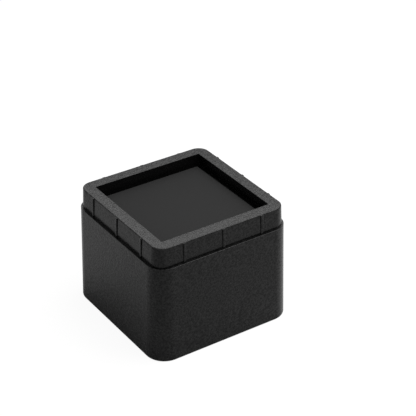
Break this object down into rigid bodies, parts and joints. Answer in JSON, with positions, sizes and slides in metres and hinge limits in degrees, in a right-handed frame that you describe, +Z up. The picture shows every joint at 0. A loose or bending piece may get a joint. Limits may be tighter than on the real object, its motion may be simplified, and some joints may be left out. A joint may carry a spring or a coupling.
{
  "type": "bed riser",
  "caption": "Square stackable bed riser in black plastic, with a recess and soft pad for the leg on top and a hollow socket underneath.",
  "frame": {"origin": "middle of the footprint, on the floor", "axes": "+Z up through the middle of the recess; X and Y square to the sides, which are all alike"},
  "size_m": [0.106, 0.106, 0.0835],
  "materials": {
    "moulding": "black moulded polypropylene with a fine matt grain",
    "pad": "smooth matt black rubber sheet"
  },
  "bodies": {
    "root": {"riser_body": "moulding", "anti_slip_pad": "pad"}
  },
  "joints": []
}
